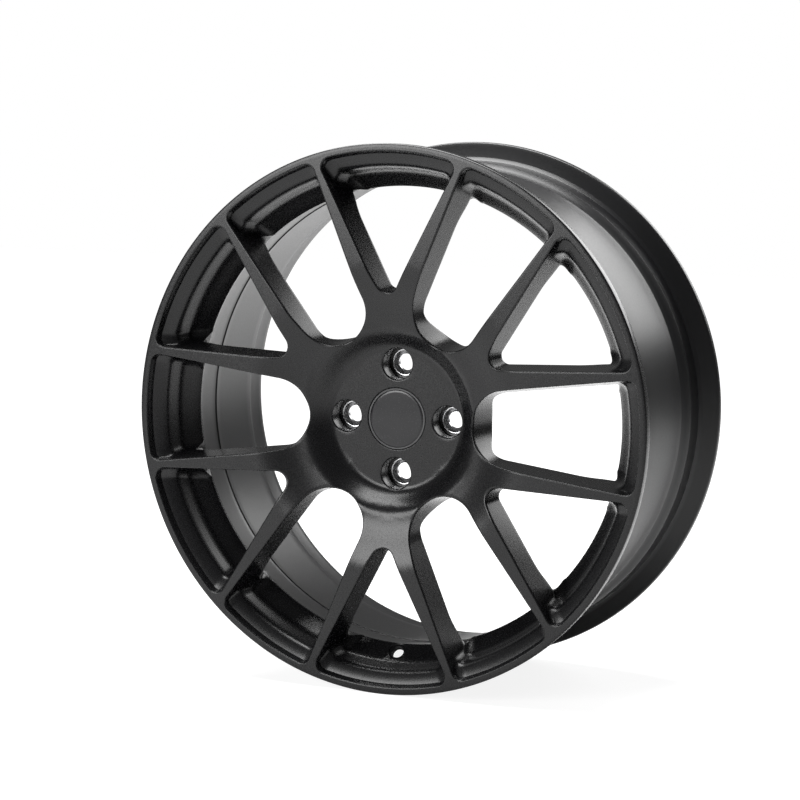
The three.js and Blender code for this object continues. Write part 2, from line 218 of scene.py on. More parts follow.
# %% Inner side of the rim's front
LIP_INNER = 241.7
LIP_BOUNDARY = 244.9
FOOT = 209.7
JOIN_RADIUS, JOIN_Y = FLARE[1], rear_y(FLARE[1])
rim_inside = soften([
    (LIP_INNER, FRONT + 0.5),
    (240.4, FRONT + 6.4),
    (237.6, FRONT + 8.0),
    (232.2, FRONT + 9.2),
    (228.4, FRONT + 13.0),
    (227.3, FRONT + 15.5),
    (223.9, FRONT + 30.8),
    (222.0, FRONT + 31.9),
    (220.9, FRONT + 34.2),
    (FOOT, FRONT + 46.0),
    (JOIN_RADIUS, JOIN_Y),
], 1.1)


def lip_radius(y):
    """Radius of the rim's inner side at depth y, read off its softened profile."""
    return np.interp(y, rim_inside[:, 1], rim_inside[:, 0])


print("rim inside:", len(rim_inside), "samples, foot radius", round(float(lip_radius(FRONT + 46)), 1))

# %% [markdown]
# A window is a round bottom, two straight sides, two round corners and an arc inside the
# lip. It is cut with draft, so it narrows with depth. One function gives any point of any
# window's wall from two numbers: how far round the outline it lies, and how deep.

# %% One window's wall
DRAFT = math.radians(7.6)
CORNER = 9.0
SPOKES = 6
SECTOR = 2 * math.pi / SPOKES
NOTCH = {"bottom": 115.0, "radius": 11.5, "half": math.radians(27.7)}
ARCH = {"bottom": 78.5, "radius": 34.4, "half": math.radians(7.4)}


def window_wall(window, tau, y):
    """Right half of a window's wall. tau runs 0 to 1 round the bottom arc, to 2 up the side,
    to 3 round the corner and to 4 along the lip to the middle. y is depth. Each point is a
    centre plus a radius times a direction, and the radii shrink by the draft. Returns x, z
    and the angle of the outward normal."""
    half, radius = window["half"], window["radius"]
    inset = (y - FRONT) * math.tan(DRAFT)
    centre = window["bottom"] + radius
    outer = lip_radius(y)
    k = radius - inset - CORNER
    base_x, base_z = k * np.cos(half), centre - k * np.sin(half)
    ahead = base_x * np.sin(half) + base_z * np.cos(half)
    reach = np.sqrt(ahead**2 - base_x**2 - base_z**2 + (outer - CORNER) ** 2) - ahead
    corner_x, corner_z = base_x + reach * np.sin(half), base_z + reach * np.cos(half)
    polar = np.arctan2(corner_z, corner_x)
    share = [np.clip(tau - i, 0, 1) for i in range(4)]
    bottom_angle = -np.pi / 2 + (np.pi / 2 - half) * share[0]
    corner_angle = -half + (polar + half) * share[2]
    lip_angle = polar + (np.pi / 2 - polar) * share[3]
    start_x, start_z = (radius - inset) * np.cos(half), centre - (radius - inset) * np.sin(half)
    end_x, end_z = corner_x + CORNER * np.cos(half), corner_z - CORNER * np.sin(half)
    stretch = [tau <= 1, tau <= 2, tau <= 3]
    x = np.select(stretch, [
        (radius - inset) * np.cos(bottom_angle),
        start_x + (end_x - start_x) * share[1],
        corner_x + CORNER * np.cos(corner_angle),
    ], outer * np.cos(lip_angle))
    z = np.select(stretch, [
        centre + (radius - inset) * np.sin(bottom_angle),
        start_z + (end_z - start_z) * share[1],
        corner_z + CORNER * np.sin(corner_angle),
    ], outer * np.sin(lip_angle))
    angle = np.select(stretch, [bottom_angle, -half + 0 * y, corner_angle], lip_angle)
    return x, z, angle


# %% [markdown]
# The face is tiled by twelve cells, one round each window, that meet on the middle lines of
# the spokes and their branches. Neighbouring cells use the same points on a shared line, so
# they weld into one skin with no seam. Angles here are clock angles from the top.

# %% Lines where the cells meet
HUB_CIRCLE = 70.0
TIP = (0.0, 97.0)
BEND = (7.5, 100.0)
STRAIGHT = (25.9, 135.0)
BRANCH_ANGLE = math.radians(16.6)
BRANCH_STEPS, HUB_STEPS, STEM_STEPS = 30, 10, 5
NOTCH_LIP_STEPS, ARCH_LIP_STEPS = 14, 12
BEZIER_SHARE = 0.33


def branch_line(end_radius):
    """Middle line of a branch, as radius and clock angle: a quadratic Bezier out of the stem,
    then a straight line to the rim."""
    share = np.interp(np.arange(BRANCH_STEPS + 1), [0, 8, 24, 30], [0, 0.2, 0.86, 1])
    t = np.clip(share / BEZIER_SHARE, 0, 1)
    s = np.clip((share - BEZIER_SHARE) / (1 - BEZIER_SHARE), 0, 1)
    tip, bend, start = (np.array(p) for p in (TIP, BEND, STRAIGHT))
    end = end_radius * np.array([math.sin(BRANCH_ANGLE), math.cos(BRANCH_ANGLE)])
    curve = np.outer((1 - t) ** 2, tip) + np.outer(2 * t * (1 - t), bend) + np.outer(t * t, start)
    points = curve + np.outer(s, end - start)
    return np.hypot(points[:, 0], points[:, 1]), np.arctan2(points[:, 0], points[:, 1])


def cell_edge(kind, end_radius):
    """Right half of a cell's outer edge, as radius and clock angle, from its bottom middle to
    its top middle."""
    line_radius, line_angle = branch_line(end_radius)
    if kind is NOTCH:
        lip = np.linspace(BRANCH_ANGLE, 0, NOTCH_LIP_STEPS + 1)[1:]
        return np.r_[line_radius, lip * 0 + end_radius], np.r_[line_angle, lip]
    middle = SECTOR / 2
    hub = np.linspace(0, middle, HUB_STEPS + 1)
    stem = np.linspace(HUB_CIRCLE, TIP[1], STEM_STEPS + 1)[1:-1]
    lip = np.linspace(middle - BRANCH_ANGLE, 0, ARCH_LIP_STEPS + 1)[1:]
    radius = np.r_[hub * 0 + HUB_CIRCLE, stem, line_radius, lip * 0 + end_radius]
    return radius, np.r_[hub, stem * 0 + middle, middle - line_angle, lip]


# %% [markdown]
# Across each cell run five bands: the front face, its rounded edge, the drafted wall, the
# rear edge and the rear face. Along the lip the wall follows the rim's inner side instead.

# %% One cell of the face
FACE_ROWS, EDGE_ROWS, WALL_ROWS, REAR_EDGE_ROWS, REAR_ROWS = 9, 5, 15, 3, 4
EDGE_ROUND, REAR_ROUND = 1.1, 1.8
SIDE_TURN, LIP_TURN = math.radians(82), math.radians(75)
NOTCH_KNOTS = ([0, 8, 24, 30, 36, 44], [0, 1, 2, 2.5, 3, 4])
ARCH_KNOTS = ([0, 10, 15, 23, 39, 45, 50, 57], [0, 0.363, 0.711, 1, 2, 2.5, 3, 4])


def window_cell(kind, knots):
    """A grid of points, columns round the window and rows across the bands, for the right
    half of a cell. Every band is a mean or an arc between the lines on either side of it."""
    tau = np.interp(np.arange(knots[0][-1] + 1), *knots)[:, None]
    at_lip = ease(tau, 2.0, 3.0)
    edge_radius, edge_clock = cell_edge(kind, LIP_BOUNDARY)
    rear_radius, rear_clock = cell_edge(kind, JOIN_RADIUS)
    level = FRONT + 0 * tau
    for _ in range(3):
        x, z, angle = window_wall(kind, tau, level)
        level = front_y(np.hypot(x, z))
    turn = (SIDE_TURN + (LIP_TURN - SIDE_TURN) * at_lip) * np.arange(1, EDGE_ROWS + 1) / EDGE_ROWS
    full = SIDE_TURN + (LIP_TURN - SIDE_TURN) * at_lip
    start_x, start_z = x + EDGE_ROUND * np.cos(angle), z + EDGE_ROUND * np.sin(angle)
    start_y = front_y(np.hypot(start_x, start_z))
    # Front face, from the cell's edge to the start of the round.
    q = np.arange(FACE_ROWS) / FACE_ROWS
    out_x, out_z = edge_radius * np.sin(edge_clock), edge_radius * np.cos(edge_clock)
    face_x = out_x[:, None] + (start_x - out_x[:, None]) * q
    face_z = out_z[:, None] + (start_z - out_z[:, None]) * q
    face = [face_x, front_y(np.hypot(face_x, face_z)), face_z]
    # Rounded edge.
    edge_y = start_y + EDGE_ROUND * (1 - np.cos(turn))
    edge_x, edge_z, _ = window_wall(kind, tau, edge_y)
    ease_out = EDGE_ROUND * (1 - np.sin(turn) / np.sin(full))
    turn_rows = [edge_x + ease_out * np.cos(angle), edge_y, edge_z + ease_out * np.sin(angle)]
    start = [start_x, start_y, start_z]
    # Wall.
    side_x, side_z, _ = window_wall(kind, tau, FRONT + 34 + 0 * tau)
    side_end = spoke_edge_y(np.hypot(side_x, side_z)) - REAR_ROUND
    foot_end = JOIN_Y - 2 * REAR_ROUND
    wall_end = side_end + (foot_end - side_end) * at_lip
    down = np.arange(1, WALL_ROWS + 1) / WALL_ROWS
    wall_y = edge_y[:, -1:] + (wall_end - edge_y[:, -1:]) * down
    wall_x, wall_z, _ = window_wall(kind, tau, wall_y)
    # Rear edge.
    turn = np.pi / 2 * np.arange(1, REAR_EDGE_ROWS + 1) / REAR_EDGE_ROWS
    back_y = wall_end + REAR_ROUND * np.sin(turn)
    back_x, back_z, _ = window_wall(kind, tau, back_y)
    lean = REAR_ROUND * (1 - np.cos(turn)) * (1 - at_lip)
    back_x, back_z = back_x + lean * np.cos(angle), back_z + lean * np.sin(angle)
    # Rear face.
    q = np.arange(1, REAR_ROWS + 1) / REAR_ROWS
    out_x, out_z = rear_radius * np.sin(rear_clock), rear_radius * np.cos(rear_clock)
    last_x, last_y, last_z = back_x[:, -1:], back_y[:, -1:], back_z[:, -1:]
    rear_x = last_x + (out_x[:, None] - last_x) * q
    rear_z = last_z + (out_z[:, None] - last_z) * q
    miss = last_y - rear_y(np.hypot(last_x, last_z))
    rear = [rear_x, rear_y(np.hypot(rear_x, rear_z)) + miss * (1 - q), rear_z]
    bands = [face, start, turn_rows, [wall_x, wall_y, wall_z], [back_x, back_y, back_z], rear]
    return np.stack([np.concatenate([b[k] for b in bands], 1) for k in range(3)], 2)


def turned(points, angle):
    """The points turned by a clock angle about the Y axis."""
    c, s = math.cos(angle), math.sin(angle)
    return np.stack([points[..., 0] * c + points[..., 2] * s, points[..., 1],
                     points[..., 2] * c - points[..., 0] * s], -1)


def full_ring(half):
    """A whole cell from its right half: the left half is its mirror image, in reverse order."""
    left = half[-2:0:-1] * np.array([-1, 1, 1])
    return np.concatenate([half, left])


notch_ring = full_ring(window_cell(NOTCH, NOTCH_KNOTS))
arch_ring = full_ring(window_cell(ARCH, ARCH_KNOTS))
print("grid round a notch:", notch_ring.shape[:2], " round an arch:", arch_ring.shape[:2])

# %% [markdown]
# The hub is four more cells, one round each bolt pocket. A pocket is a deep cup for the
# wrench with a smaller socket for the seat below it, and a clear hole through to the pad.

# %% One quarter of the hub
CAP_OPENING = cap_high[0] + 0.3
BORE = 28.05
RECESS = HUB_FRONT + 4.3
BOLT_RADIUS = (seat_low[2] + seat_high[2]) / 2
POCKET, SOCKET, BOLT_HOLE = 14.5, (seat_high[0] - seat_low[0]) / 2 + 0.3, 7.8
POCKET_FLOOR, SOCKET_FLOOR = seat_low[1], seat_high[1] + 0.3
QUARTER_STEPS, RADIAL_STEPS = 30, 8
HUB_INNER = CAP_OPENING + 0.9
BORE_CHAMFER = 1.5

bolt_bore = soften([
    (POCKET, HUB_FRONT + 1.4),
    (POCKET - 0.3, POCKET_FLOOR - 0.01),
    (SOCKET, POCKET_FLOOR),
    (SOCKET, SOCKET_FLOOR),
    (BOLT_HOLE, SOCKET_FLOOR + 0.01),
    (BOLT_HOLE, PAD - 1.0),
    (BOLT_HOLE + 1.0, PAD),
], 0.35)


def quarter_edge(inner):
    """Edge of a quarter of the hub, anticlockwise from its inner left corner: inner arc, side,
    outer arc, side. x to the right and z up, with the bolt at the top."""
    wide = np.linspace(-math.pi / 4, math.pi / 4, QUARTER_STEPS + 1)
    rise = np.linspace(inner, HUB_CIRCLE, RADIAL_STEPS + 1)
    radius = np.r_[wide[:-1] * 0 + inner, rise[:-1], wide[:-1] * 0 + HUB_CIRCLE, rise[:0:-1]]
    clock = np.r_[wide[:-1], rise[:-1] * 0 + math.pi / 4, -wide[:-1], rise[:0:-1] * 0 - math.pi / 4]
    return radius * np.sin(clock), radius * np.cos(clock)


def hub_quarter():
    """Rows run from the quarter's front edge in to the pocket, down the bolt bore, and back
    out to the edge of the pad. Each is a blend of the edge and a circle round the bolt."""
    edge_x, edge_z = quarter_edge(HUB_INNER)
    angle = np.arctan2(edge_z - BOLT_RADIUS, edge_x)

    def ring(radius):
        return radius * np.cos(angle), BOLT_RADIUS + radius * np.sin(angle)

    rows = []
    mouth_x, mouth_z = ring(POCKET + 1.4)
    for q in np.arange(8) / 8:
        x, z = edge_x + (mouth_x - edge_x) * q, edge_z + (mouth_z - edge_z) * q
        rows.append((x, front_y(np.hypot(x, z)), z))
    for turn in np.radians([0, 22, 45, 68]):
        x, z = ring(POCKET + 1.4 * (1 - math.sin(turn)))
        rows.append((x, front_y(np.hypot(*ring(POCKET + 1.4))) + 1.4 * (1 - math.cos(turn)), z))
    for radius, y in pick(bolt_bore, turn=18):
        x, z = ring(radius)
        rows.append((x, 0 * x + y, z))
    end_x, end_z = quarter_edge(BORE + BORE_CHAMFER)
    last_x, last_z = ring(bolt_bore[-1, 0])
    for q in (0.33, 0.67, 1.0):
        x, z = last_x + (end_x - last_x) * q, last_z + (end_z - last_z) * q
        rows.append((x, 0 * x + PAD, z))
    return np.stack([np.stack(row, 1) for row in rows], 1)


quarter = hub_quarter()
print("grid of a hub quarter:", quarter.shape[:2])

# %% [markdown]
# The rest of the forging is turned: the lip, the tyre side, the rear flange and the barrel,
# and the bore in the middle. Their profiles start and end on the cells' own edges.

# %% Turned parts of the forging
tyre_side = soften([
    (LIP_BOUNDARY, FRONT), (CREST - 0.9, FRONT), (CREST, FRONT + 0.9), (CREST, FRONT + 9),
    (244.8, FRONT + 11.6), (234.0, FRONT + 12.5), (231.0, FRONT + 15.5), (229.6, FRONT + 33),
    (230.6, FRONT + 36), (228.5, FRONT + 39), (213.5, FRONT + 48), (213.5, SPLIT + 5.3),
    (217.7, -25.75), (219.5, -9.75), (223.5, 45.25), (224.5, 61.25), (230.5, 71.75),
    (229.6, 74.75), (231.0, 92.25), (234.0, 95.25), (242.5, REAR - 9), (CREST - 0.8, REAR - 7.2),
    (CREST, REAR - 5.5), (CREST, REAR - 0.9), (CREST - 0.9, REAR), (236.0, REAR),
    (233.5, REAR - 1.5), (229.5, REAR - 6), (226.4, REAR - 14), (225.6, REAR - 35),
    (224.0, REAR - 42), (221.2, REAR - 46.4), (220.7, REAR - 47.5), (214.1, -21.2),
    (213.8, -21.8), (214.9, -23.0), (211.0, SPLIT + 0.3),
    (JOIN_RADIUS, JOIN_Y),
], 0.9)
bore_side = soften([
    (HUB_INNER, HUB_FRONT), (CAP_OPENING + 0.3, HUB_FRONT), (CAP_OPENING, HUB_FRONT + 0.5),
    (CAP_OPENING, RECESS), (25.5, RECESS + 0.01), (25.5, RECESS + 7.4), (BORE, RECESS + 7.5),
    (BORE, PAD - BORE_CHAMFER), (BORE + BORE_CHAMFER, PAD),
], 0.25)


def lathe(profile, clock):
    """Every profile point swept round the Y axis: x is radius times the sine of the clock
    angle and z is radius times its cosine."""
    radius, y = profile[:, 0], profile[:, 1]
    return np.stack([np.outer(np.sin(clock), radius), np.outer(clock * 0 + 1, y),
                     np.outer(np.cos(clock), radius)], 2)


notch_clock = np.linspace(-BRANCH_ANGLE, BRANCH_ANGLE, 2 * NOTCH_LIP_STEPS + 1)[:-1]
arch_clock = np.linspace(BRANCH_ANGLE, SECTOR - BRANCH_ANGLE, 2 * ARCH_LIP_STEPS + 1)[:-1]
rim_clock = np.concatenate([np.r_[notch_clock, arch_clock] + i * SECTOR for i in range(SPOKES)])
hub_clock = np.linspace(0, 2 * math.pi, 4 * QUARTER_STEPS + 1)[:-1]
rim_turned = lathe(pick(tyre_side, longest=16.0, turn=13.0), rim_clock)
bore_turned = lathe(pick(bore_side, turn=15), hub_clock)
print("grid of the rim:", rim_turned.shape[:2], " of the bore:", bore_turned.shape[:2])

# %% [markdown]
# All the grids are welded by rounding their points to a hundredth of a millimetre and
# keeping one of each. Normals are then turned outwards on the closed skin.

# %% Weld the grids into one skin
WELD_DIGITS = 2


def grid_faces(columns, rows, closed_rows=False):
    """Four-cornered faces of a grid whose columns close on themselves."""
    i = np.arange(columns)[:, None]
    j = np.arange(rows if closed_rows else rows - 1)[None, :]
    here, there = i * rows, (i + 1) % columns * rows
    up = (j + 1) % rows
    return np.stack([here + j, there + j, there + up, here + up], -1).reshape(-1, 4)


def weld(grids, closed_rows=False):
    """Points and faces of many grids, with points that agree to WELD_DIGITS made one and
    faces that lost a side left out."""
    points, faces, count = [], [], 0
    for grid in grids:
        points.append(grid.reshape(-1, 3))
        faces.append(grid_faces(*grid.shape[:2], closed_rows) + count)
        count += len(points[-1])
    points, faces = np.concatenate(points), np.concatenate(faces)
    _, first, same = np.unique(points.round(WELD_DIGITS), axis=0, return_index=True, return_inverse=True)
    faces = same.reshape(-1)[faces]
    whole = (faces != np.roll(faces, 1, 1)).all(1)
    return points[first], faces[whole]


def new_piece(name, points, faces, material, smooth_angle=32):
    """A mesh object at the origin, in metres, with outward normals and smooth faces."""
    mesh = bpy.data.meshes.new(name)
    mesh.vertices.add(len(points))
    mesh.vertices.foreach_set("co", (points * MM).astype(np.float32).ravel())
    mesh.loops.add(faces.size)
    mesh.loops.foreach_set("vertex_index", faces.astype(np.int32).ravel())
    mesh.polygons.add(len(faces))
    mesh.polygons.foreach_set("loop_start", np.arange(0, faces.size, 4, dtype=np.int32))
    mesh.polygons.foreach_set("loop_total", np.full(len(faces), 4, np.int32))
    mesh.update(calc_edges=True)
    mesh.validate()
    piece = bpy.data.objects.new(name, mesh)
    bpy.context.scene.collection.objects.link(piece)
    outward(mesh)
    mesh.polygons.foreach_set("use_smooth", np.ones(len(mesh.polygons), bool))
    mesh.set_sharp_from_angle(angle=math.radians(smooth_angle))
    mesh.materials.append(material)
    return piece


MERGE_DISTANCE = 8e-6  # metres: points left apart by rounding in weld become one


def outward(mesh):
    """Merges the last near points of a closed mesh and turns every face outwards."""
    work = bmesh.new()
    work.from_mesh(mesh)
    bmesh.ops.remove_doubles(work, verts=work.verts, dist=MERGE_DISTANCE)
    bmesh.ops.recalc_face_normals(work, faces=work.faces)
    open_edges = sum(1 for e in work.edges if len(e.link_faces) != 2)
    work.to_mesh(mesh)
    work.free()
    print(mesh.name, "faces:", len(mesh.polygons), " open or doubled edges:", open_edges)


# %% [markdown]
# Powder coat is a thin plastic skin baked on. It has a satin sheen, a faint orange peel and
# a fine grain, so the colour stays nearly even while roughness and bump vary.

# %% Material helpers
def new_material(name):
    """A node material with a small helper to add and join nodes."""
    material = bpy.data.materials.new(name)
    material.use_nodes = True
    tree = material.node_tree
    shader = tree.nodes["Principled BSDF"]
    coords = tree.nodes.new("ShaderNodeTexCoord")
    return material, tree, shader, coords.outputs["Object"]


def noise(tree, vector, scale, detail=3.0, roughness=0.5):
    node = tree.nodes.new("ShaderNodeTexNoise")
    node.inputs["Scale"].default_value = scale
    node.inputs["Detail"].default_value = detail
    node.inputs["Roughness"].default_value = roughness
    tree.links.new(vector, node.inputs["Vector"])
    return node.outputs["Fac"]


def ramp(tree, value, low, high, out_low, out_high):
    node = tree.nodes.new("ShaderNodeMapRange")
    for socket, number in zip(("From Min", "From Max", "To Min", "To Max"), (low, high, out_low, out_high)):
        node.inputs[socket].default_value = number
    tree.links.new(value, node.inputs["Value"])
    return node.outputs["Result"]


def tint(tree, value, dark, light):
    node = tree.nodes.new("ShaderNodeMix")
    node.data_type = "RGBA"
    node.inputs["A"].default_value = (*dark, 1)
    node.inputs["B"].default_value = (*light, 1)
    tree.links.new(value, node.inputs["Factor"])
    return node.outputs["Result"]


def bump(tree, value, distance, strength, normal=None):
    node = tree.nodes.new("ShaderNodeBump")
    node.inputs["Distance"].default_value = distance
    node.inputs["Strength"].default_value = strength
    tree.links.new(value, node.inputs["Height"])
    if normal is not None:
        tree.links.new(normal, node.inputs["Normal"])
    return node.outputs["Normal"]


# %% Satin black powder coat
def powder_coat(name, dark, light, rough, turned_lines):
    """Near-black base with slow and fine noise in colour and roughness, an orange-peel bump
    and a grain bump. turned_lines adds the faint rings of a lathe under the coat."""
    material, tree, shader, where = new_material(name)
    cloud = noise(tree, where, 14, 2)
    peel = noise(tree, where, 700, 2)
    grain = noise(tree, where, 3200, 1)
    tree.links.new(tint(tree, ramp(tree, cloud, 0.3, 0.7, 0, 1), dark, light), shader.inputs["Base Color"])
    tree.links.new(ramp(tree, peel, 0.3, 0.7, rough - 0.03, rough + 0.03), shader.inputs["Roughness"])
    normal = bump(tree, peel, 0.00004, 0.35)
    normal = bump(tree, grain, 0.00001, 0.35, normal)
    if turned_lines:
        wave = tree.nodes.new("ShaderNodeTexWave")
        wave.bands_direction = "Y"
        wave.inputs["Scale"].default_value = 180
        wave.inputs["Distortion"].default_value = 0.6
        tree.links.new(where, wave.inputs["Vector"])
        normal = bump(tree, wave.outputs["Fac"], 0.00002, 0.3, normal)
    tree.links.new(normal, shader.inputs["Normal"])
    shader.inputs["Specular IOR Level"].default_value = 0.28
    return material


face_coat = powder_coat("satin_black_face", (0.003, 0.003, 0.0033), (0.0045, 0.0045, 0.005), 0.27, False)
# The barrel's coat is the same powder as the face, but its base colour is painted lighter as painted sheen,
# standing in for the brighter reflections inside the barrel. Its rougher finish and faint turned rings are
# its own.
barrel_coat_painted_sheen = powder_coat("satin_black_barrel_painted_sheen", (0.005, 0.005, 0.0055), (0.0065, 0.0065, 0.007), 0.33, True)

# %% [markdown]
# The forging is made in one piece here as it is in the metal. It stands for the hub, the
# spokes and both halves of the rim.

# %% The forged wheel
grids = []
for i in range(SPOKES):
    grids.append(turned(notch_ring, i * SECTOR))
    grids.append(turned(arch_ring, (i + 0.5) * SECTOR))
for i in range(4):
    grids.append(turned(quarter, i * math.pi / 2))
grids += [rim_turned, bore_turned]
wheel = new_piece("forged_wheel", *weld(grids), face_coat)

# %% [markdown]
# The valve goes through the sloped wall of the rim in the bottom window. A turned cutter
# with a spot face makes the hole, square to the wall.

# %% Valve hole
VALVE_HOLE, VALVE_SPOT, SPOT_DEPTH = 11.3, 17.0, 0.7
PIN_CORE = 0.02  # the pin is closed round a hair-thin core, so that no face shrinks to a point


def valve_cutter():
    """A stepped pin about the wall's normal: the spot face outside, a chamfer and the hole."""
    top, foot = np.array([222.5, FRONT + 33.0]), np.array([FOOT, FRONT + 46.0])
    middle = foot + (top - foot) * 0.52
    tangent = (foot - top) / np.linalg.norm(foot - top)
    normal = np.array([tangent[1], -tangent[0]])
    if normal[0] > 0:
        normal = -normal
    hole, spot = VALVE_HOLE / 2, VALVE_SPOT / 2
    pin = [(PIN_CORE, 18), (spot, 18), (spot, -SPOT_DEPTH), (hole + 0.5, -SPOT_DEPTH),
           (hole, -SPOT_DEPTH - 0.5), (hole, -18), (PIN_CORE, -18)]
    clock = np.linspace(0, 2 * math.pi, 49)[:-1]
    grid = lathe(np.array(pin, float), clock)
    along, across = grid[..., 1], np.stack([grid[..., 0], grid[..., 2]], -1)
    radial = middle[0] + normal[0] * along + tangent[0] * across[..., 1]
    y = middle[1] + normal[1] * along + tangent[1] * across[..., 1]
    return np.stack([across[..., 0], y, -radial], -1)


cutter = new_piece("valve_cutter", *weld([valve_cutter()], closed_rows=True), face_coat)
cut = wheel.modifiers.new("valve", "BOOLEAN")
cut.operation = "DIFFERENCE"
cut.solver = "EXACT"
cut.object = cutter
bpy.context.view_layer.update()
made = bpy.data.meshes.new_from_object(wheel.evaluated_get(bpy.context.evaluated_depsgraph_get()))
wheel.modifiers.clear()
wheel.data = made
wheel.data.name = "forged_wheel"
bpy.data.objects.remove(cutter)
print("forged wheel triangles:", sum(len(p.vertices) - 2 for p in wheel.data.polygons))

# %% Barrel faces take the turned coat
wheel.data.materials.clear()
wheel.data.materials.append(face_coat)
# The barrel faces get the copy of the coat with the painted sheen in its base colour.
wheel.data.materials.append(barrel_coat_painted_sheen)
centres = np.zeros(len(wheel.data.polygons) * 3, np.float32)
wheel.data.polygons.foreach_get("center", centres)
centres = centres.reshape(-1, 3) / MM
in_barrel = (centres[:, 1] > JOIN_Y) & (np.hypot(centres[:, 0], centres[:, 2]) > 200)
wheel.data.polygons.foreach_set("material_index", in_barrel.astype(np.int32))
wheel.data.update()
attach(wheel, "wheel")
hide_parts("hub", "front_flange", "front_wall", "rim_barrel", "rear_flange",
            *[f"y_spoke_{i + 1}" for i in range(SPOKES)])

# %% [markdown]
# Each seat is a short steel-bright cone that the bolt's taper presses on. It is turned, so
# its roughness follows rings round its axis, carried as an attribute along the profile.

# %% Bright lug seats
def bright_metal(name, colour, rough):
    """Bare turned metal. Fine rings come from a noise read along the profile, at a very
    different scale along it than round it."""
    material, tree, shader, where = new_material(name)
    along = tree.nodes.new("ShaderNodeAttribute")
    along.attribute_name = "along"
    spread = tree.nodes.new("ShaderNodeCombineXYZ")
    tree.links.new(along.outputs["Fac"], spread.inputs["X"])
    rings = noise(tree, spread.outputs["Vector"], 6.0, 3)
    smear = noise(tree, where, 160, 2)
    dark = tuple(c * 0.8 for c in colour)
    tree.links.new(tint(tree, ramp(tree, smear, 0.3, 0.7, 0, 1), dark, colour), shader.inputs["Base Color"])
    tree.links.new(ramp(tree, rings, 0.35, 0.65, rough - 0.05, rough + 0.08), shader.inputs["Roughness"])
    tree.links.new(bump(tree, rings, 0.00003, 0.4), shader.inputs["Normal"])
    shader.inputs["Metallic"].default_value = 1.0
    return material


def lathe_piece(name, corners, material, segments, radius=0.2, centre=(0, 0), turn=6.0):
    """A closed ring turned from corners about an axis at centre, with its profile's length in
    millimetres stored on each point as the attribute along."""
    line = soften(corners + [corners[0]], radius)
    profile = pick(line, turn=turn)[:-1]
    clock = np.linspace(0, 2 * math.pi, segments + 1)[:-1]
    grid = lathe(profile, clock) + np.array([centre[0], 0, centre[1]])
    faces = grid_faces(*grid.shape[:2], closed_rows=True)
    piece = new_piece(name, grid.reshape(-1, 3), faces, material)
    steps = np.linalg.norm(np.diff(profile, axis=0), axis=1)
    along = np.tile(np.concatenate([[0], np.cumsum(steps)]), segments)
    attribute = piece.data.attributes.new("along", "FLOAT", "POINT")
    attribute.data.foreach_set("value", along.astype(np.float32))
    return piece


seat_metal = bright_metal("bare_seat_metal", (0.72, 0.72, 0.73), 0.24)
seat_radius = (seat_high[0] - seat_low[0]) / 2
for i in range(4):
    clock = i * math.pi / 2
    seat = lathe_piece(f"seat_{i + 1}", [
        (seat_radius, seat_high[1]), (seat_radius, seat_low[1]), (11.2, seat_low[1]),
        (7.7, seat_low[1] + 3.7), (7.5, seat_low[1] + 4.2), (7.5, seat_high[1]),
    ], seat_metal, 64, 0.3, (BOLT_RADIUS * math.sin(clock), BOLT_RADIUS * math.cos(clock)), 5)
    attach(seat, "wheel")
    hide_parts(f"lug_seat_{i + 1}")

# %% [markdown]
# The cap is a black plastic body with six clip fingers and a thin gloss face in its rim. The
# body's own CAD solid has the right clips, so only its ring and the face are finished here.

# %% Centre cap
def cap_plastic_material():
    """Moulded plastic: even black, a fine spark-eroded grain in roughness and bump."""
    material, tree, shader, where = new_material("cap_plastic")
    grain = noise(tree, where, 2600, 2)
    cloud = noise(tree, where, 90, 2)
    black = tint(tree, cloud, (0.016, 0.016, 0.017), (0.022, 0.022, 0.023))
    tree.links.new(black, shader.inputs["Base Color"])
    tree.links.new(ramp(tree, grain, 0.3, 0.7, 0.36, 0.46), shader.inputs["Roughness"])
    tree.links.new(bump(tree, grain, 0.00002, 0.4), shader.inputs["Normal"])
    return material


def gloss_material():
    """Polished black under a clear coat, with a slight waviness from moulding."""
    material, tree, shader, where = new_material("cap_gloss")
    wave = noise(tree, where, 60, 1)
    fine = noise(tree, where, 900, 2)
    black = tint(tree, wave, (0.008, 0.008, 0.009), (0.012, 0.012, 0.013))
    tree.links.new(black, shader.inputs["Base Color"])
    tree.links.new(ramp(tree, fine, 0.3, 0.7, 0.24, 0.28), shader.inputs["Roughness"])
    tree.links.new(bump(tree, wave, 0.0002, 0.1), shader.inputs["Normal"])
    shader.inputs["Specular IOR Level"].default_value = 0.25
    shader.inputs["Coat Weight"].default_value = 0.12
    shader.inputs["Coat Roughness"].default_value = 0.1
    return material


cap_plastic = cap_plastic_material()
cap_gloss = gloss_material()
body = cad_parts["cap_body"]
body.data.materials.clear()
body.data.materials.append(cap_plastic)
face_low, face_high = node_box("cap_face")
cap_disc_radius = face_high[0]


def disc_piece(name, radius, front, rear, dome, material, segments=96):
    """A domed disc: the front bulges by dome times one less the square of the radius share,
    and a small round joins it to a flat rear. Rings shrink to a tiny closed ring at the middle."""
    share = np.linspace(0.004, 0.975, 16)
    top = [(radius * s, front + dome * s * s) for s in share]
    corners = top + [(radius, front + dome + 0.35), (radius, rear), (radius * 0.004, rear)]
    profile = np.array(corners)
    clock = np.linspace(0, 2 * math.pi, segments + 1)[:-1]
    grid = lathe(profile, clock)
    faces = grid_faces(*grid.shape[:2], closed_rows=True)
    return new_piece(name, grid.reshape(-1, 3), faces, material, 50)


cap_disc = disc_piece("cap_disc", cap_disc_radius, face_low[1], face_high[1], 0.5, cap_gloss)
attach(cap_disc, "centre_cap")
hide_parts("cap_face")
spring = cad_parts["cap_spring_ring"]
spring.data.materials.clear()
spring.data.materials.append(bright_metal("spring_wire", (0.62, 0.62, 0.63), 0.25))

